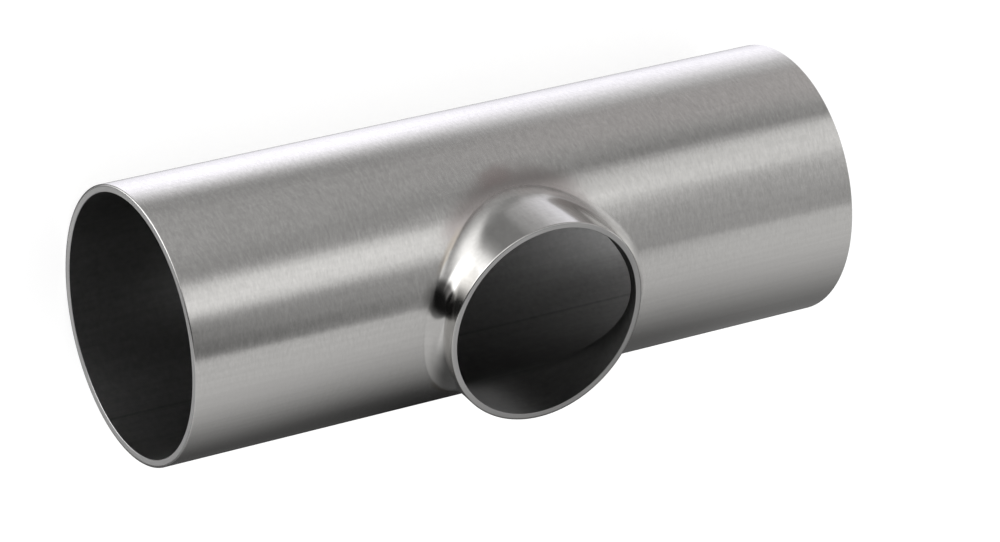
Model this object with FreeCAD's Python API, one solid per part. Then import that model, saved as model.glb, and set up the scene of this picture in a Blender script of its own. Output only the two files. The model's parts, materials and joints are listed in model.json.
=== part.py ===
# Reducing weld tee for thin-walled hygienic tube: a length of tube with a short collar drawn out of its side.
#
# It is one piece of metal. The collar is pulled through a hole in the tube wall, so the wall bends
# round into it with one radius outside and a larger one inside, and thins towards the collar's lip.
# All three ends are faced square, ready to be butt-welded to tubes of the same size.
#
# Millimetres. The run's axis is X, the branch's axis is Z, and the origin is where they meet.
# The tee lies on its run with the branch straight up: the collar weighs less than the wall that its
# hole took away, so the heavier side of the run is the one opposite the branch, and rolls underneath.

import FreeCAD, Part
import os

from FreeCAD import Vector

# Driving dimensions: the run tube
run_od = 53.0
run_wall = 1.5
run_length = 142.0

# Driving dimensions: the drawn collar
branch_od = 41.0
branch_wall = 1.2
root_radius = 3.6
shortest_land = 0.4

# Driving dimension: the bevel that deburring leaves on every end edge
edge_break = 0.15

# Sizes that follow from them
run_radius = run_od / 2
run_bore_radius = run_radius - run_wall
branch_radius = branch_od / 2
branch_bore_radius = branch_radius - branch_wall
branch_height = run_radius + root_radius + shortest_land
inside_bend_radius = root_radius + run_wall

# What an edge's midpoint may lie off a circle or a cylinder and still count as on it
edge_tolerance = 1e-3

RUN_AXIS = Vector(1, 0, 0)
BRANCH_AXIS = Vector(0, 0, 1)


def middle(edge):
    """The point halfway along an edge."""
    return edge.valueAt((edge.FirstParameter + edge.LastParameter) / 2)


def off_axis(point, axis):
    """How far a point lies from a line through the origin."""
    return point.cross(axis).Length


def crossed_rods(run_r, branch_r, blend_r):
    """Two solid rods that cross at the origin, with a rolling-ball blend where the branch leaves the run."""
    run = Part.makeCylinder(run_r, run_length, RUN_AXIS * (-run_length / 2), RUN_AXIS)
    branch = Part.makeCylinder(branch_r, branch_height, Vector(0, 0, 0), BRANCH_AXIS)
    rods = run.fuse(branch).removeSplitter()
    saddle = [
        edge
        for edge in rods.Edges
        if abs(off_axis(middle(edge), RUN_AXIS) - run_r) < edge_tolerance
        and abs(off_axis(middle(edge), BRANCH_AXIS) - branch_r) < edge_tolerance
    ]
    return rods.makeFillet(blend_r, saddle)


def end_edges(shape):
    """The rims of the three openings, inside and out: every circle that lies in an end face."""
    found = []
    for edge in shape.Edges:
        if not isinstance(edge.Curve, Part.Circle):
            continue
        centre = edge.Curve.Center
        at_run_end = abs(abs(centre.x) - run_length / 2) < edge_tolerance
        at_lip = abs(centre.z - branch_height) < edge_tolerance
        if at_run_end or at_lip:
            found.append(edge)
    return found


def weld_tee():
    """The whole fitting as one solid: the outer form less the inner one, with its end edges broken."""
    outside = crossed_rods(run_radius, branch_radius, root_radius)
    inside = crossed_rods(run_bore_radius, branch_bore_radius, inside_bend_radius)
    tee = outside.cut(inside)
    return tee.makeChamfer(edge_break, end_edges(tee))


os.makedirs("parts", exist_ok=True)
weld_tee().exportStep("parts/weld_tee.step")
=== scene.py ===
import json
import math

import bpy
import numpy as np
from mathutils import Matrix, Vector


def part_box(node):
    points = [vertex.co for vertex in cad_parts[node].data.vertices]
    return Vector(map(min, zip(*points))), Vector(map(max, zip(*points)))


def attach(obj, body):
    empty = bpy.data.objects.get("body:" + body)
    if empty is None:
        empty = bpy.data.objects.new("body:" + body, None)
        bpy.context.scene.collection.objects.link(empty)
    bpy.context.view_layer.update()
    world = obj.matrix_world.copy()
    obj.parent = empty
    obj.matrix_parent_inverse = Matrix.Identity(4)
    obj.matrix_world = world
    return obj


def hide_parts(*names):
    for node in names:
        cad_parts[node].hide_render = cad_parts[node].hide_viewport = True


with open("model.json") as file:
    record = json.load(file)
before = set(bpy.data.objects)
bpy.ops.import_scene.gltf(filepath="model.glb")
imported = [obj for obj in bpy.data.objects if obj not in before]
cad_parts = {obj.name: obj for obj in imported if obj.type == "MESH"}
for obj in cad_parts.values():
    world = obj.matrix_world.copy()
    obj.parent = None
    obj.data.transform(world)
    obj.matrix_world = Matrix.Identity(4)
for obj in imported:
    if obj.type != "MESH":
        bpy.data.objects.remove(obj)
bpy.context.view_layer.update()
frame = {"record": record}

MM = 0.001

# The tee's own sizes, in millimetres. What the frame states is read from it.
low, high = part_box("weld_tee")
mounts = {mount["name"]: mount for mount in frame["record"]["mounts"]}
RUN_HALF = high.x / MM
RUN_R = -low.z / MM
LIP_Z = high.z / MM
RUN_BORE_R = mounts["run_bore"]["dims"]["r_mm"]
BRANCH_R = 20.5
BRANCH_WALL = 1.2
ROOT_R = 3.6
EDGE_R = 0.15
BRANCH_BORE_R = BRANCH_R - BRANCH_WALL
BEND_R = ROOT_R + RUN_R - RUN_BORE_R

# How finely the surfaces are divided
AROUND_BRANCH = 192
SIDE = AROUND_BRANCH // 4
LAND_STEPS = 12
BLEND_STEPS = 16
SKIRT_STEPS = 12
BACK_STEPS = 72
END_STEPS = 30
EDGE_STEPS = 4
RING_STEPS = 3
# How far the shading of each end's outer edge still leans outwards where its rounding meets the face
CROWN = math.radians(40)

# A drawn wall doesn't start to bend all at once: how far up the land its shading begins to, by how much, and
# how fast it then turns where the blend starts, with 1 for a steady turn
EASE_LENGTH = 3.8
EASE_ANGLE = math.radians(9)
EASE_RATE = 0.6

# The patch of the run around the branch, between the blend's foot and the plain tube
PATCH_HALF_X = 31.0
PATCH_HALF_ANGLE = math.radians(72)

# Which material each face takes
OUTSIDE, FACED, INSIDE = range(3)


class Skin:
    """Vertices with the normals that they are shaded by, and faces with a material each."""

    def __init__(self):
        self.points = []
        self.normals = []
        self.faces = []
        self.kinds = []

    def row(self, points, normals):
        """Adds a row of vertices and returns their numbers."""
        first = len(self.points)
        self.points.extend(map(tuple, points))
        self.normals.extend(map(tuple, normals))
        return np.arange(first, len(self.points))

    def bridge(self, near, far, kind, closed=True):
        """Joins two rows of vertices by quads."""
        for i in range(len(near) if closed else len(near) - 1):
            j = (i + 1) % len(near)
            self.faces.append((near[i], near[j], far[j], far[i]))
            self.kinds.append(kind)


def unit(vectors):
    """The vectors, each made 1 long."""
    return vectors / np.linalg.norm(vectors, axis=-1, keepdims=True)


def blend_curves(tube_r, branch_r, ball_r, turn):
    """Where a ball rolls between tube and branch: its centre, and where it touches each of them."""
    reach = branch_r + ball_r
    across = reach * np.sin(turn)
    height = np.sqrt((tube_r + ball_r) ** 2 - across**2)
    centre = np.stack([reach * np.cos(turn), across, height], -1)
    on_tube = centre * [1, tube_r / (tube_r + ball_r), tube_r / (tube_r + ball_r)]
    on_branch = centre * [branch_r / reach, branch_r / reach, 1]
    return centre, on_tube, on_branch


def patch_outline():
    """The rectangle around the branch, in (x, angle about the run), starting at +X and going round by +Y."""
    steps = np.linspace(-1, 1, SIDE + 1)[:-1]
    right = [(PATCH_HALF_X, s * PATCH_HALF_ANGLE) for s in steps]
    front = [(-s * PATCH_HALF_X, PATCH_HALF_ANGLE) for s in steps]
    left = [(-PATCH_HALF_X, -s * PATCH_HALF_ANGLE) for s in steps]
    back = [(s * PATCH_HALF_X, -PATCH_HALF_ANGLE) for s in steps]
    return np.roll(np.array(right + front + left + back), -SIDE // 2, axis=0)


def branch_turns():
    """The angles round the branch at which its lines run down, from +X by +Y."""
    return np.arange(AROUND_BRANCH) * 2 * math.pi / AROUND_BRANCH


def run_angles():
    """The angles round the run at which its lines lie: first across the rectangle, then round the back."""
    front = np.linspace(-PATCH_HALF_ANGLE, PATCH_HALF_ANGLE, SIDE + 1)
    back = np.linspace(PATCH_HALF_ANGLE, 2 * math.pi - PATCH_HALF_ANGLE, BACK_STEPS + 1)[1:-1]
    return np.concatenate([front, back])


def on_run(tube_r, x, angle):
    """Points and normals of a tube about X; the angle is 0 straight up and grows towards +Y."""
    normal = np.stack([np.zeros_like(angle), np.sin(angle), np.cos(angle)], -1)
    point = normal * tube_r
    point[..., 0] = x
    return point, normal


def collar_rows(skin, tube_r, branch_r, ball_r, sign):
    """The collar and the skirt around it, row by row from the lip outwards, on one face of the wall."""
    turn = branch_turns()
    centre, on_tube, on_branch = blend_curves(tube_r, branch_r, ball_r, turn)
    radial = np.stack([np.cos(turn), np.sin(turn), np.zeros_like(turn)], -1)
    rows = []

    arm_start = unit(on_branch - centre)
    arm_end = unit(on_tube - centre)
    sweep = np.arccos(np.clip((arm_start * arm_end).sum(-1), -1, 1))[:, None]

    def arm(bend):
        """The direction from the ball's centre to its surface, bend further round than the branch."""
        return (arm_start * np.sin(sweep - bend) + arm_end * np.sin(bend)) / np.sin(sweep)

    # The straight land, from the lip down to the blend
    lip = radial * branch_r
    lip[:, 2] = LIP_Z - EDGE_R
    land = (lip - on_branch)[:, 2:]
    ease_length = np.minimum(EASE_LENGTH, land)
    ease = EASE_ANGLE * ease_length / EASE_LENGTH
    for step in np.linspace(0, 1, LAND_STEPS + 1)[:-1]:
        bend = ease * np.clip(1 - land * (1 - step) / ease_length, 0, 1) ** 2
        rows.append(skin.row(lip + (on_branch - lip) * step, -arm(bend) * sign))

    # The blend, along arcs of the rolling ball
    for step in np.linspace(0, 1, BLEND_STEPS + 1):
        bend = ease + (sweep - ease) * (EASE_RATE * step + (1 - EASE_RATE) * step**2)
        rows.append(skin.row(centre + arm(step * sweep) * ball_r, -arm(bend) * sign))

    # The skirt, on the tube itself, from the blend's foot out to the rectangle
    foot = np.stack([on_tube[:, 0], np.arctan2(on_tube[:, 1], on_tube[:, 2])], -1)
    outline = patch_outline()
    for step in np.linspace(0, 1, SKIRT_STEPS + 1)[1:-1]:
        x, angle = (foot + (outline - foot) * step).T
        points, normals = on_run(tube_r, x, angle)
        rows.append(skin.row(points, normals * sign))
    return rows


def run_grid(skin, tube_r, sign):
    """The plain tube's vertices, by line along X and line around it, with none inside the rectangle."""
    middle_x = np.linspace(-PATCH_HALF_X, PATCH_HALF_X, SIDE + 1)
    end_x = np.linspace(PATCH_HALF_X, RUN_HALF - EDGE_R, END_STEPS + 1)[1:]
    xs = np.concatenate([-end_x[::-1], middle_x, end_x])
    angles = run_angles()
    grid = np.full((len(xs), len(angles)), -1)
    for i, x in enumerate(xs):
        in_patch = END_STEPS < i < END_STEPS + SIDE
        columns = np.array([k for k in range(len(angles)) if not (in_patch and 0 < k < SIDE)])
        points, normals = on_run(tube_r, x, angles[columns])
        grid[i, columns] = skin.row(points, normals * sign)
    return grid


def wall_side(skin, tube_r, branch_r, ball_r, kind, sign):
    """One face of the wall. Returns its rows at the lip, at the run's -X end and at its +X end."""
    rows = collar_rows(skin, tube_r, branch_r, ball_r, sign)
    grid = run_grid(skin, tube_r, sign)
    first, last = END_STEPS, END_STEPS + SIDE
    for i in range(len(grid) - 1):
        if first <= i < last:
            near = np.append(grid[i, SIDE:], grid[i, 0])
            far = np.append(grid[i + 1, SIDE:], grid[i + 1, 0])
            skin.bridge(near, far, kind, closed=False)
        else:
            skin.bridge(grid[i], grid[i + 1], kind)
    edge = np.concatenate([
        grid[last, :SIDE],
        grid[last:first:-1, SIDE],
        grid[first, SIDE:0:-1],
        grid[first:last, 0],
    ])
    rows.append(np.roll(edge, -SIDE // 2))
    for near, far in zip(rows, rows[1:]):
        skin.bridge(near, far, kind)
    return rows[0], grid[0], grid[-1]


def faced_end(skin, place, outer_row, outer_r, inner_row, inner_r):
    """The square end between the wall's two faces, with both its edges rounded.

    place(r, depth, out, along) gives a row of points at radius r and depth below the end face, with normals.
    """
    bends = np.linspace(0, math.pi / 2, EDGE_STEPS + 1)[1:]
    sections = []
    for bend in bends:
        inset, depth = EDGE_R * (1 - math.cos(bend)), EDGE_R * (1 - math.sin(bend))
        facing = bend * (1 - CROWN / (math.pi / 2))
        sections.append((outer_r - inset, depth, math.cos(facing), math.sin(facing), OUTSIDE))
    for step in np.linspace(0, 1, RING_STEPS + 1)[1:]:
        radius = (outer_r - EDGE_R) * (1 - step) + (inner_r + EDGE_R) * step
        sections.append((radius, 0.0, 0.0, 1.0, FACED))
    for bend in bends[-2::-1]:
        inset, depth = EDGE_R * (1 - math.cos(bend)), EDGE_R * (1 - math.sin(bend))
        sections.append((inner_r + inset, depth, -math.cos(bend), math.sin(bend), FACED))
    last = outer_row
    for radius, depth, out, along, kind in sections:
        row = skin.row(*place(radius, depth, out, along))
        skin.bridge(last, row, kind)
        last = row
    skin.bridge(last, inner_row, FACED)


def run_end(side, angles):
    """The place function of a run end; side is -1 or 1."""
    def place(radius, depth, out, along):
        points, normals = on_run(radius, side * (RUN_HALF - depth), angles)
        normals = normals * out
        normals[:, 0] = side * along
        return points, normals
    return place


def lip_end(turn):
    """The place function of the branch's lip."""
    def place(radius, depth, out, along):
        radial = np.stack([np.cos(turn), np.sin(turn), np.zeros_like(turn)], -1)
        points = radial * radius
        points[:, 2] = LIP_Z - depth
        normals = radial * out
        normals[:, 2] = along
        return points, normals
    return place


def tee_mesh():
    """The fitting as one closed mesh of quads."""
    skin = Skin()
    outer = wall_side(skin, RUN_R, BRANCH_R, ROOT_R, OUTSIDE, 1)
    inner = wall_side(skin, RUN_BORE_R, BRANCH_BORE_R, BEND_R, INSIDE, -1)
    angles = run_angles()
    faced_end(skin, lip_end(branch_turns()), outer[0], BRANCH_R, inner[0], BRANCH_BORE_R)
    faced_end(skin, run_end(-1, angles), outer[1], RUN_R, inner[1], RUN_BORE_R)
    faced_end(skin, run_end(1, angles), outer[2], RUN_R, inner[2], RUN_BORE_R)

    points = np.array(skin.points)
    normals = unit(np.array(skin.normals))
    faces = []
    for face in skin.faces:
        a, b, c = (points[n] for n in face[:3])
        outward = np.cross(b - a, c - b) @ normals[list(face)].sum(0) > 0
        faces.append(face if outward else face[::-1])

    mesh = bpy.data.meshes.new("weld_tee_surface")
    mesh.from_pydata((points * MM).tolist(), [], [[int(n) for n in face] for face in faces])
    mesh.polygons.foreach_set("material_index", skin.kinds)
    mesh.shade_smooth()
    mesh.normals_split_custom_set_from_vertices(normals.tolist())
    return mesh


class Nodes:
    """Shorthand for the nodes of one shader tree."""

    def __init__(self, owner):
        owner.use_nodes = True
        self.tree = owner.node_tree
        self.tree.nodes.clear()

    def add(self, kind, **settings):
        node = self.tree.nodes.new(kind)
        for name, value in settings.items():
            setattr(node, name, value)
        return node

    def feed(self, socket, value):
        """Sets a socket to a number or colour, or links it to another socket."""
        if isinstance(value, bpy.types.NodeSocket):
            self.tree.links.new(value, socket)
        else:
            socket.default_value = value

    def math(self, operation, *values):
        node = self.add("ShaderNodeMath", operation=operation)
        for socket, value in zip(node.inputs, values):
            self.feed(socket, value)
        return node.outputs[0]

    def plus(self, first, *others):
        for other in others:
            first = self.math("ADD", first, other)
        return first

    def times(self, first, *others):
        for other in others:
            first = self.math("MULTIPLY", first, other)
        return first

    def minus(self, first, second):
        return self.math("SUBTRACT", first, second)

    def hypotenuse(self, first, second):
        return self.math("SQRT", self.plus(self.times(first, first), self.times(second, second)))

    def rise(self, value, start, end):
        """0 before start, 1 after end, and smooth between them."""
        node = self.add("ShaderNodeMapRange", interpolation_type="SMOOTHSTEP")
        self.feed(node.inputs["Value"], value)
        self.feed(node.inputs["From Min"], start)
        self.feed(node.inputs["From Max"], end)
        return node.outputs["Result"]

    def fall(self, value, start, end):
        """1 before start, 0 after end, and smooth between them."""
        return self.minus(1.0, self.rise(value, start, end))

    def within(self, value, start, full, fading, gone):
        """1 from full to fading, 0 before start and after gone, and smooth between them."""
        return self.times(self.rise(value, start, full), self.fall(value, fading, gone))

    def blend(self, first, second, share):
        """first where share is 0 and second where it is 1."""
        return self.plus(first, self.times(self.minus(second, first), share))

    def tint(self, first, second, share):
        """The same for two colours."""
        node = self.add("ShaderNodeMix", data_type="RGBA")
        self.feed(node.inputs["Factor"], share)
        self.feed(node.inputs["A"], first)
        self.feed(node.inputs["B"], second)
        return node.outputs["Result"]

    def place(self):
        """Object coordinates in millimetres, as X, Y and Z."""
        where = self.add("ShaderNodeTexCoord").outputs["Object"]
        split = self.add("ShaderNodeSeparateXYZ")
        self.feed(split.inputs[0], where)
        return [self.times(axis, 1 / MM) for axis in split.outputs]

    def point(self, x, y, z, along=None, across=None):
        """A point to read a texture at. Small factors along the run and across it stretch the texture."""
        if along is not None:
            x = self.times(x, along)
        if across is not None:
            y, z = self.times(y, across), self.times(z, across)
        node = self.add("ShaderNodeCombineXYZ")
        for socket, value in zip(node.inputs, (x, y, z)):
            self.feed(socket, value)
        return node.outputs[0]

    def noise(self, where, scale, detail=2.0, roughness=0.5):
        node = self.add("ShaderNodeTexNoise")
        self.feed(node.inputs["Vector"], where)
        node.inputs["Scale"].default_value = scale
        node.inputs["Detail"].default_value = detail
        node.inputs["Roughness"].default_value = roughness
        return node.outputs["Fac"]

    def swing(self, noise, amount):
        """The noise about 0 instead of about a half, and amount times as strong."""
        return self.times(self.minus(noise, 0.5), amount)

    def principled(self, colour, roughness, metallic=1.0, anisotropic=0.0, tangent=None, normal=None):
        shader = self.add("ShaderNodeBsdfPrincipled")
        self.feed(shader.inputs["Base Color"], colour)
        self.feed(shader.inputs["Roughness"], roughness)
        shader.inputs["Metallic"].default_value = metallic
        shader.inputs["Anisotropic"].default_value = anisotropic
        if tangent is not None:
            self.feed(shader.inputs["Tangent"], tangent)
        if normal is not None:
            self.feed(shader.inputs["Normal"], normal)
        return shader.outputs[0]

    def finish(self, shader, kind="ShaderNodeOutputMaterial"):
        self.feed(self.add(kind).inputs["Surface"], shader)


# The foot of the outer blend on the run is an ellipse in plan
FOOT_X = BRANCH_R + ROOT_R
FOOT_Y = FOOT_X * RUN_R / (RUN_R + ROOT_R)

# The outside: the two greys between which the brushing varies, the heat tints, the painted dark reflection
# by the collar and the painted shade low on the -Y side
STEEL = (0.705, 0.694, 0.676, 1.0)
STEEL_DARK = (0.495, 0.487, 0.474, 1.0)
STRAW = (0.51, 0.46, 0.395, 1.0)
PLUM = (0.41, 0.375, 0.365, 1.0)
PLUM_SPOT = (0.4, 0.33, 0.32, 1.0)
PAINTED_REFLECTION_HALO = (0.17, 0.165, 0.16, 1.0)
PAINTED_DARK_REFLECTION = (0.05, 0.046, 0.044, 1.0)
UNDERSIDE_SHADE = (0.27, 0.265, 0.26, 1.0)
BRUSHED_ROUGHNESS = 0.15
SMOOTH_ROUGHNESS = 0.09
SCRATCH_DEPTH = 0.02 * MM

# The ends: the branch's lip and the run's two rings
LIP_DARK, LIP_PALE = (0.34, 0.336, 0.332, 1.0), (0.5, 0.496, 0.49, 1.0)
END_DARK, END_PALE = (0.5, 0.497, 0.492, 1.0), (0.68, 0.676, 0.67, 1.0)
END_ROUGHNESS = 0.28
# The turn round the branch at which the lip's painted light is brightest
LIP_LIT_TURN = math.radians(130)

# The inside, and what its two greys turn to where painted light makes it paler
INSIDE_DARK, INSIDE_DARK_LIT = (0.155, 0.1545, 0.154, 1.0), (0.35, 0.3485, 0.347, 1.0)
INSIDE_PALE, INSIDE_PALE_LIT = (0.285, 0.284, 0.282, 1.0), (0.6, 0.598, 0.595, 1.0)
INSIDE_ROUGHNESS = 0.34
SEAM_ANGLE = math.radians(-107)
LIT_ANGLE = math.radians(-160)


class BranchPlace:
    """Where a point of the outside lies about the branch.

    off_axis is its distance from the branch's axis in millimetres. worn is the same where 1 is the blend's
    foot, a little uneven. turn is the angle round the branch in degrees, 0 towards -X, 90 towards -Y and +Y
    alike, and 180 towards +X. above is 1 on the side of the run that the branch is on, and formed is 1 where
    the collar was drawn.
    """

    def __init__(self, n, x, y, z):
        self.off_axis = n.hypotenuse(x, y)
        reach = n.math("SQRT", n.plus(n.times(x, x, FOOT_X**-2), n.times(y, y, FOOT_Y**-2)))
        self.foot_reach = n.plus(reach, n.swing(n.noise(n.point(x, y, z), 0.5), 0.03))
        self.turn = n.math("DEGREES", n.math("ARCTAN2", n.math("ABSOLUTE", y), n.times(x, -1.0)))
        self.above = n.rise(z, 6.0, 10.0)
        self.formed = n.times(n.fall(self.foot_reach, 0.93, 1.03), self.above)


def steel_shade(n, x, y, z, at, scratch):
    """How pale the brushed steel is, from 0 to 1: scratches, streaks along the run, broad patches and, on
    the collar, painted shade.
    """
    streak = n.noise(n.point(x, y, z, along=0.03, across=1.5), 1.0)
    patch = n.noise(n.point(x, y, z, along=0.5), 0.09)
    scratched = n.times(n.plus(0.17, n.times(0.83, n.rise(y, -3.0, 10.0))), n.fall(at.formed, 0.0, 1.5))
    return n.plus(
        0.5,
        n.times(n.swing(scratch, 1.55), scratched),
        n.swing(streak, 0.32),
        n.swing(patch, 0.2),
        n.times(at.formed, -0.15),
        # Painted shade: the collar darker from 70 to 142 degrees round the branch
        n.times(at.formed, n.within(at.turn, 70.0, 100.0, 128.0, 142.0), -0.33),
    )


def with_tints_and_painted_reflection(n, colour, y, at):
    """The colour with the heat tints round the collar's foot, one of them widened as a painted shade, and a
    painted dark reflection on its -X side.
    """

    def ring(*reach):
        return n.times(n.within(at.foot_reach, *reach), at.above)

    def sector(*turn):
        return n.within(at.turn, *turn)

    on_y_side = n.rise(y, 1.0, 4.0)
    off_land = n.rise(at.off_axis, BRANCH_R, BRANCH_R + 0.12)
    # How far the painted dark reflection reaches, round the branch and out from the land
    dark_reflection_end = n.plus(23.0, n.times(n.rise(at.off_axis, BRANCH_R + 0.05, BRANCH_R + 0.7), 3.0))
    dark_reflection_reach = n.times(off_land, n.fall(at.foot_reach, 0.95, 1.02), at.above)
    marks = [
        # A heat tint, widened towards -X and outwards as a painted shade that dims the reflection near the
        # collar's foot
        (PLUM, 0.88, ring(0.96, 1.0, 1.04, 1.16), sector(37.0, 50.0, 112.0, 132.0)),
        (PLUM, 0.45, ring(0.9, 0.95, 0.99, 1.04), sector(102.0, 112.0, 124.0, 136.0)),
        (PLUM_SPOT, 0.5, ring(1.02, 1.06, 1.1, 1.15), sector(70.0, 78.0, 86.0, 94.0)),
        # A painted dark reflection on the collar's -X side: a softer halo, then its darkest part
        (PAINTED_REFLECTION_HALO, 0.6, ring(0.9, 1.0, 1.0, 1.1), sector(10.0, 18.0, 21.0, 29.0), on_y_side),
        (PAINTED_DARK_REFLECTION, 0.82, dark_reflection_reach, sector(10.0, 16.0, dark_reflection_end, n.plus(dark_reflection_end, 4.0)), on_y_side),
        (STRAW, 0.7, ring(0.97, 0.99, 1.0, 1.035), sector(26.0, 36.0, 46.0, 56.0)),
    ]
    for mark, strength, *shares in marks:
        colour = n.tint(colour, mark, n.times(strength, *shares))
    return colour


def outside_metal():
    """Satin steel: brushed round the run, smoother and faintly heat-tinted where the collar was drawn, with
    painted shade and a painted dark reflection.
    """
    material = bpy.data.materials.new("brushed_outside")
    n = Nodes(material)
    x, y, z = n.place()
    here = n.point(x, y, z)
    at = BranchPlace(n, x, y, z)

    # Short scratches round the tube, which wander a little
    wander = n.swing(n.noise(here, 0.05, detail=1.0), 6.0)
    scratched_at = n.point(n.plus(x, wander), y, z, along=1.7, across=0.57)
    scratch = n.noise(scratched_at, 1.0, detail=4.0, roughness=0.75)
    colour = n.tint(STEEL_DARK, STEEL, steel_shade(n, x, y, z, at, scratch))
    colour = with_tints_and_painted_reflection(n, colour, y, at)

    # Rougher low on the -Y side, and darkened there by a painted shade, which the photograph doesn't show
    under = n.times(n.fall(y, -12.0, -2.0), n.fall(z, -14.0, 2.0))
    colour = n.tint(colour, UNDERSIDE_SHADE, n.times(under, 0.85))

    marks = n.add("ShaderNodeBump")
    marks.inputs["Strength"].default_value = 0.5
    marks.inputs["Distance"].default_value = SCRATCH_DEPTH
    n.feed(marks.inputs["Height"], scratch)
    around = n.add("ShaderNodeTangent", direction_type="RADIAL", axis="X")
    brushed = n.principled(
        colour,
        n.plus(BRUSHED_ROUGHNESS, n.times(scratch, 0.06), n.times(under, 0.3)),
        anisotropic=0.8,
        tangent=around.outputs[0],
        normal=marks.outputs[0],
    )
    brushed.node.inputs["Anisotropic Rotation"].default_value = 0.25

    # The collar's land is the smoothest, and its blend is rougher the further it lies from -X
    in_blend = n.rise(at.off_axis, BRANCH_R + 0.05, BRANCH_R + 1.0)
    rougher = n.plus(n.times(0.1, n.rise(at.turn, 24.0, 42.0)), n.times(0.16, n.rise(at.turn, 52.0, 72.0)))
    uneven = n.times(n.noise(here, 1.5), 0.06)
    smooth = n.principled(colour, n.plus(SMOOTH_ROUGHNESS, n.times(in_blend, rougher), uneven))

    both = n.add("ShaderNodeMixShader")
    n.feed(both.inputs[0], at.formed)
    n.feed(both.inputs[1], brushed)
    n.feed(both.inputs[2], smooth)
    n.finish(both.outputs[0])
    return material


def end_metal():
    """Turned steel: fine rings on the three ends, duller on the lip of the branch, and painted light on one
    side of the lip.
    """
    material = bpy.data.materials.new("faced_end")
    n = Nodes(material)
    x, y, z = n.place()
    at_run_end = n.rise(n.math("ABSOLUTE", x), 0.5 * RUN_HALF, 0.6 * RUN_HALF)
    ring = n.blend(n.hypotenuse(x, y), n.hypotenuse(y, z), at_run_end)
    marks = n.noise(n.point(n.times(ring, 9.0), n.times(x, 0.15), n.times(y, 0.15)), 1.0)
    uneven = n.noise(n.point(x, y, z), 0.08)
    round_lip = n.math("ARCTAN2", y, x)
    # Painted light: the lip is paler on one side, brightest towards 130 degrees round the branch
    facing = n.math("COSINE", n.minus(round_lip, LIP_LIT_TURN))
    lit = n.times(facing, n.minus(1.0, at_run_end), 0.45)
    shade = n.plus(n.times(marks, 0.5), n.swing(uneven, 1.2), 0.25, lit)
    at_lip = n.tint(LIP_DARK, LIP_PALE, shade)
    at_end = n.tint(END_DARK, END_PALE, shade)
    roughness = n.plus(END_ROUGHNESS, n.times(marks, 0.15))
    n.finish(n.principled(n.tint(at_lip, at_end, at_run_end), roughness))
    return material


def inside_metal():
    """Pickled steel: dull and mottled, with faint drawing lines, the tube's seam, and painted light towards
    +X.
    """
    material = bpy.data.materials.new("dull_inside")
    n = Nodes(material)
    x, y, z = n.place()
    mottle = n.noise(n.point(x, y, z), 0.9, detail=3.0, roughness=0.6)
    lines = n.noise(n.point(x, y, z, along=0.04, across=1.5), 1.0)
    angle = n.math("ARCTAN2", y, z)
    off_seam = n.times(n.math("ABSOLUTE", n.minus(angle, SEAM_ANGLE)), RUN_BORE_R)
    seam = n.fall(off_seam, 0.1, 0.4)
    shade = n.plus(0.5, n.swing(mottle, 0.8), n.swing(lines, 0.4), n.times(seam, -0.35))

    # Painted light: paler towards +X, most of all near the bottom of the bore
    facing = n.rise(n.math("COSINE", n.minus(angle, LIT_ANGLE)), math.cos(math.radians(45)), 0.985)
    painted_light = n.plus(n.times(n.rise(x, -60.0, 0.0), 0.2), n.times(facing, n.rise(x, 4.0, 34.0), 0.78))
    dark = n.tint(INSIDE_DARK, INSIDE_DARK_LIT, painted_light)
    pale = n.tint(INSIDE_PALE, INSIDE_PALE_LIT, painted_light)
    n.finish(n.principled(n.tint(dark, pale, shade), n.plus(INSIDE_ROUGHNESS, n.times(mottle, 0.1))))
    return material


tee = bpy.data.objects.new("weld_tee_surface", tee_mesh())
bpy.context.scene.collection.objects.link(tee)
for made in (outside_metal(), end_metal(), inside_metal()):
    tee.data.materials.append(made)
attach(tee, "root")
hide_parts("weld_tee")

# The camera, as the photograph was taken: where it looks from, and how far it is rolled
AIM = Vector((4.919, -3.248, 5.285)) * MM
AZIMUTH = math.radians(134.174)
ELEVATION = math.radians(47.446)
ROLL = math.radians(131.194)
DISTANCE = 0.8738
LENS = 165.806
SENSOR_WIDTH = 36.0
CLIP_START = 0.01

away = Vector((
    math.cos(ELEVATION) * math.cos(AZIMUTH),
    math.cos(ELEVATION) * math.sin(AZIMUTH),
    math.sin(ELEVATION),
))
camera_data = bpy.data.cameras.new("camera")
camera_data.lens = LENS
camera_data.sensor_width = SENSOR_WIDTH
camera_data.clip_start = CLIP_START
camera = bpy.data.objects.new("camera", camera_data)
bpy.context.scene.collection.objects.link(camera)
upright = away.to_track_quat("Z", "Y").to_matrix()
camera.matrix_world = (
    Matrix.Translation(AIM + away * DISTANCE) @ upright.to_4x4() @ Matrix.Rotation(ROLL, 4, "Z")
)
bpy.context.scene.camera = camera


def stage_piece(name, points, faces, material, seen_by_camera):
    """A part of the studio. What the camera doesn't see shows only in reflections."""
    mesh = bpy.data.meshes.new(name)
    mesh.from_pydata(points, [], faces)
    mesh.materials.append(material)
    piece = bpy.data.objects.new(name, mesh)
    bpy.context.scene.collection.objects.link(piece)
    if not seen_by_camera:
        piece.visible_camera = False
        piece.visible_diffuse = False
        piece.visible_shadow = False
        piece.visible_transmission = False
        piece.visible_volume_scatter = False
    return piece


def flat_square(half, height):
    """A level square, half wide to each side of the middle."""
    corners = [(-half, -half, height), (half, -half, height), (half, half, height), (-half, half, height)]
    return corners, [(0, 1, 2, 3)]


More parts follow.
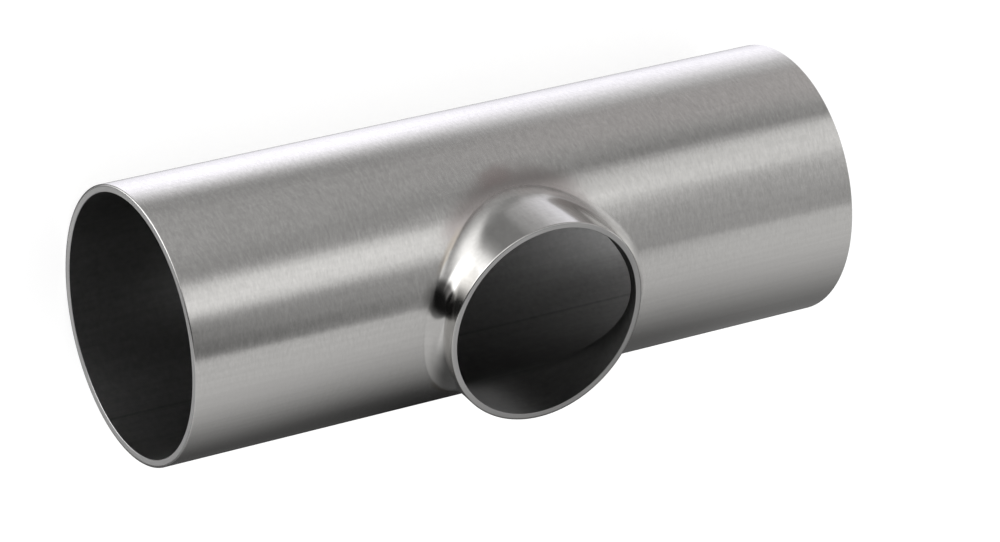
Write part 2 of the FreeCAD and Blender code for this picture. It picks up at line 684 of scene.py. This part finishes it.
def dome_shape(radius, columns=48, rows=24):
    """A whole sphere around the tee."""
    points = [(0, 0, -radius), (0, 0, radius)]
    for row in range(1, rows):
        tilt = math.pi * row / rows
        for column in range(columns):
            turn = 2 * math.pi * column / columns
            points.append((
                radius * math.sin(tilt) * math.cos(turn),
                radius * math.sin(tilt) * math.sin(turn),
                -radius * math.cos(tilt),
            ))
    faces = []
    for column in range(columns):
        after = (column + 1) % columns
        faces.append((0, 2 + after, 2 + column))
        last = 2 + (rows - 2) * columns
        faces.append((1, last + column, last + after))
        for row in range(rows - 2):
            here = 2 + row * columns
            faces.append((here + column, here + after, here + columns + after, here + columns + column))
    return points, faces


def glow(material_name, paint):
    """A material that only gives off light, as bright and of such a colour as paint(nodes) says."""
    material = bpy.data.materials.new(material_name)
    n = Nodes(material)
    emission = n.add("ShaderNodeEmission")
    strength, colour = paint(n)
    n.feed(emission.inputs["Strength"], strength)
    n.feed(emission.inputs["Color"], colour)
    n.finish(emission.outputs[0])
    material.cycles.emission_sampling = "NONE"
    return material


# How bright the parts of the studio are, where 1 is white. A pair is for the run's -X half and its +X half.
ROOM = 0.44
BEYOND_END = 1.7
STRIP = (1.15, 0.93)
GAP = (0.33, 0.28)
SIDE_CARD = 0.66
CORNER = 0.28
WINDOW, WINDOW_LOW = 1.95, 1.75
WINDOW_LEFT = 2.8
BEYOND_WINDOW = 0.035
RIM = (1.66, 1.47)
UNDERNEATH, UNDERNEATH_LEFT = 0.05, 0.36
LOW_CARD = 0.66
FLAG, FLAG_LEFT, FLAG_RIGHT = 0.2, 0.04, 0.38
PANEL = (0.59, 0.52)
PANEL_EDGE = 0.06

# The turn at which the count starts, in a dark part of the studio
FIRST_TURN = 48.0
NEUTRAL = (1.0, 1.0, 1.0, 1.0)
COOL = (0.985, 0.975, 1.05, 1.0)
WARM = (1.03, 1.0, 1.0, 1.0)


class Sky:
    """The directions around the tee, from its middle.

    turn is the angle about the run in degrees: 90 towards -Y, 180 straight up, 270 towards +Y and 360
    straight down. lean is how far the direction leans along the run: 1 is +X and -1 is -X. To the camera,
    the run mirrors lean 0.2 to 0.65, and its two halves differ. The rest shows only in the collar.
    """

    def __init__(self, n):
        self.n = n
        direction = n.add("ShaderNodeVectorMath", operation="NORMALIZE")
        n.feed(direction.inputs[0], n.add("ShaderNodeTexCoord").outputs["Object"])
        split = n.add("ShaderNodeSeparateXYZ")
        n.feed(split.inputs[0], direction.outputs[0])
        self.lean, side, up = split.outputs
        turn = n.math("DEGREES", n.math("ARCTAN2", n.times(side, -1.0), n.times(up, -1.0)))
        self.turn = n.plus(n.math("FLOORED_MODULO", n.minus(turn, FIRST_TURN), 360.0), FIRST_TURN)
        self.on_run = n.rise(self.lean, 0.12, 0.25)
        self.near_end = n.fall(self.lean, 0.27, 0.35)
        self.right_half = n.rise(self.lean, 0.405, 0.49)
        self.far_end = n.rise(self.lean, 0.54, 0.6)
        self.beyond_run = n.rise(self.lean, 0.64, 0.74)

    def halves(self, pair):
        return self.n.blend(*pair, self.right_half)

    def past(self, edge, soft):
        """1 for turns past the edge, which is twice soft wide."""
        return self.n.rise(self.turn, self.n.minus(edge, soft), self.n.plus(edge, soft))

    def before(self, edge, soft):
        return self.n.minus(1.0, self.past(edge, soft))

    def turns(self, *limits):
        return self.n.within(self.turn, *limits)

    def leans(self, *limits):
        return self.n.within(self.lean, *limits)


def room_light(n, sky):
    """The grey room, lighter towards +X and bright straight beyond the run's end there."""
    patch = n.times(sky.right_half, sky.turns(268.0, 288.0, 298.0, 310.0))
    dip = n.times(n.minus(sky.on_run, sky.right_half), n.rise(sky.turn, 294.0, 304.0))
    light = n.plus(
        ROOM,
        n.times(sky.right_half, 0.015),
        n.times(patch, 0.035),
        n.times(dip, -0.06),
        n.times(n.rise(sky.lean, 0.75, 0.92), 0.1),
    )
    return n.blend(light, BEYOND_END, n.rise(sky.lean, 0.95, 0.985))


def strip_layers(n, sky):
    """The strip light, and the darker gap past it."""
    start = n.plus(
        203.0,
        n.times(n.fall(sky.lean, -0.1, 0.15), 8.0),
        n.times(sky.on_run, 6.8),
        n.times(sky.right_half, 13.0),
        n.times(n.rise(sky.lean, 0.62, 0.72), -29.0),
    )
    end = n.plus(
        223.0,
        n.times(sky.on_run, 11.0),
        n.times(sky.right_half, 16.0),
        n.times(n.rise(sky.lean, 0.54, 0.62), 1.0),
        n.times(n.rise(sky.lean, 0.7, 0.95), 20.0),
    )
    gap = n.times(
        sky.past(n.plus(end, 3.0), 6.0),
        n.fall(sky.turn, n.plus(end, 6.0), n.plus(end, 29.0)),
        sky.leans(0.0, 0.25, 0.63, 0.67),
    )
    strip = n.times(sky.past(start, 6.5), sky.before(end, 7.0), sky.leans(-0.4, 0.3, 0.8, 0.97))
    strip_level = n.minus(sky.halves(STRIP), n.times(sky.beyond_run, 0.06))
    return [(sky.halves(GAP), gap), (strip_level, strip)]


def small_layers(n, sky):
    """A card past the run's end, which shows by way of the run in the collar's side, and a darker corner."""
    side_card = n.times(sky.leans(0.64, 0.665, 0.7, 0.74), sky.turns(256.0, 270.0, 318.0, 330.0))
    corner = n.times(n.rise(sky.turn, 298.0, 314.0), sky.leans(-0.35, -0.2, 0.08, 0.25))
    return [(SIDE_CARD, side_card), (CORNER, corner)]


def window_layers(n, sky):
    """The window towards -X, brightest at its far side, with black beyond it."""
    low_corner = n.rise(sky.turn, 287.0, 316.0)
    end = n.math("MINIMUM", n.plus(494.0, n.times(sky.lean, 190.0)), 354.0)
    start = n.plus(212.0, n.times(n.fall(sky.lean, -0.5, -0.3), 11.0))
    window = n.times(
        n.rise(sky.turn, start, n.plus(start, 60.0)),
        sky.before(end, 8.0),
        sky.leans(-0.93, -0.89, n.blend(-0.7, -0.54, low_corner), n.blend(0.25, -0.31, low_corner)),
    )
    white_start = n.plus(211.0, n.times(270.0, n.math("MAXIMUM", n.minus(-0.66, sky.lean), 0.0)))
    white = n.times(
        n.rise(sky.turn, white_start, n.plus(white_start, 56.0)),
        sky.before(end, 8.0),
        sky.leans(-0.93, -0.87, -0.65, -0.53),
    )
    return [
        (n.blend(WINDOW, WINDOW_LOW, low_corner), window),
        (WINDOW_LEFT, white),
        (BEYOND_WINDOW, n.fall(sky.lean, -0.93, -0.89)),
    ]


def rim_layer(n, sky):
    """The rim light below, towards +Y."""
    rising = n.rise(sky.turn, sky.halves((309.5, 303.5)), sky.halves((341.5, 347.5)))
    rim = n.times(rising, n.fall(sky.turn, 366.0, 384.0), n.rise(sky.lean, 0.05, 0.2))
    dimming = n.rise(sky.turn, sky.halves((347.0, 351.0)), sky.halves((367.0, 371.0)))
    dimmer_beyond = n.plus(0.4, n.times(n.rise(sky.turn, 346.0, 360.0), 0.25))
    level = n.minus(
        n.minus(sky.halves(RIM), n.times(dimming, 0.45)),
        n.times(sky.beyond_run, dimmer_beyond),
    )
    return level, rim


def lower_layers(n, sky):
    """Hardly any light comes from underneath, but for a card towards -X."""
    underneath = n.blend(
        n.rise(sky.turn, 350.0, 372.0),
        n.rise(sky.turn, 376.0, 392.0),
        n.rise(sky.lean, 0.05, 0.2),
    )
    level = n.blend(UNDERNEATH, UNDERNEATH_LEFT, n.fall(sky.lean, -0.95, -0.6))
    card = n.times(sky.turns(374.0, 384.0, 392.0, 420.0), sky.leans(-0.72, -0.62, -0.32, -0.22))
    return [(level, underneath), (LOW_CARD, card)]


def flag_layer(n, sky):
    """The black flag, which widens towards -X."""
    end = n.plus(204.0, n.times(sky.lean, -14.0), n.times(sky.lean, sky.lean, 20.0))
    flag = n.times(sky.before(end, 7.0), n.fall(sky.lean, 0.3, 0.5))
    further_round = n.blend(FLAG_LEFT, FLAG_RIGHT, n.rise(sky.lean, 0.02, 0.26))
    return n.blend(FLAG, further_round, sky.past(188.0, 7.0)), flag


def panel_light(n, sky):
    """The soft panel overhead, which fades towards -Y."""
    fade = n.plus(
        80.0,
        n.times(sky.near_end, -12.5),
        n.times(sky.right_half, 1.0),
        n.times(sky.far_end, -9.0),
    )
    brightest = n.plus(sky.halves(PANEL), n.times(sky.near_end, 0.025))
    return n.plus(
        PANEL_EDGE,
        n.times(sky.leans(0.35, 0.4, 0.42, 0.47), n.fall(sky.turn, 85.0, 125.0), -0.048),
        n.times(n.fall(sky.lean, -0.65, -0.1), sky.turns(50.0, 85.0, 105.0, 130.0), 0.13),
        n.times(sky.near_end, 0.02),
        n.times(sky.right_half, 0.055),
        n.times(sky.far_end, 0.085),
        n.times(brightest, n.rise(sky.turn, fade, n.plus(fade, 88.0))),
        n.times(0.46, n.fall(sky.lean, -1.02, -0.52), n.fall(sky.turn, 90.0, 150.0)),
    )


def studio_paint(n):
    """The studio's brightness and colour in each direction. Later layers cover earlier ones."""
    sky = Sky(n)
    rim_level, rim = rim_layer(n, sky)
    layers = [
        *strip_layers(n, sky),
        *small_layers(n, sky),
        *window_layers(n, sky),
        (rim_level, rim),
        *lower_layers(n, sky),
        flag_layer(n, sky),
    ]
    light = room_light(n, sky)
    for level, share in layers:
        light = n.blend(light, level, share)

    # The panel takes the place of all that up to its sharp end, near straight up
    panel_end = n.plus(
        178.0,
        n.times(sky.on_run, -3.7),
        n.times(sky.right_half, 4.7),
        n.times(sky.far_end, -1.2),
    )
    light = n.blend(panel_light(n, sky), light, sky.past(panel_end, 2.0))
    colour = n.tint(NEUTRAL, COOL, rim)
    colour = n.tint(colour, WARM, n.times(sky.right_half, sky.turns(262.0, 285.0, 303.0, 316.0)))
    return light, colour


FLOOR_Z = low.z
FLOOR_HALF = 3.0
FLOOR_GREY = (0.36, 0.36, 0.36, 1.0)
FLOOR_GLOW = 0.76
DOME_R = 0.4
WHITE = (1.0, 1.0, 1.0, 1.0)


def floor_paint():
    """A white floor, brighter to the camera than its share of the light, so that shadows stay faint."""
    material = bpy.data.materials.new("floor_white")
    n = Nodes(material)
    shader = n.principled(FLOOR_GREY, 1.0, metallic=0.0)
    seen = n.add("ShaderNodeLightPath").outputs
    direct = seen["Is Camera Ray"]
    for ray in ("Is Glossy Ray", "Is Transmission Ray"):
        direct = n.math("MAXIMUM", direct, seen[ray])
    n.feed(shader.node.inputs["Emission Strength"], n.times(direct, FLOOR_GLOW))
    shader.node.inputs["Emission Color"].default_value = WHITE
    shader.node.inputs["Specular IOR Level"].default_value = 0.0
    n.finish(shader)
    return material


floor = stage_piece("floor", *flat_square(FLOOR_HALF, FLOOR_Z), floor_paint(), True)
floor.visible_glossy = False
stage_piece("studio", *dome_shape(DOME_R), glow("studio", studio_paint), False)

world = bpy.data.worlds.new("studio")
bpy.context.scene.world = world
world.use_nodes = True
world.node_tree.nodes["Background"].inputs["Color"].default_value = WHITE
world.node_tree.nodes["Background"].inputs["Strength"].default_value = 1.0

bpy.context.scene.view_settings.view_transform = "Standard"
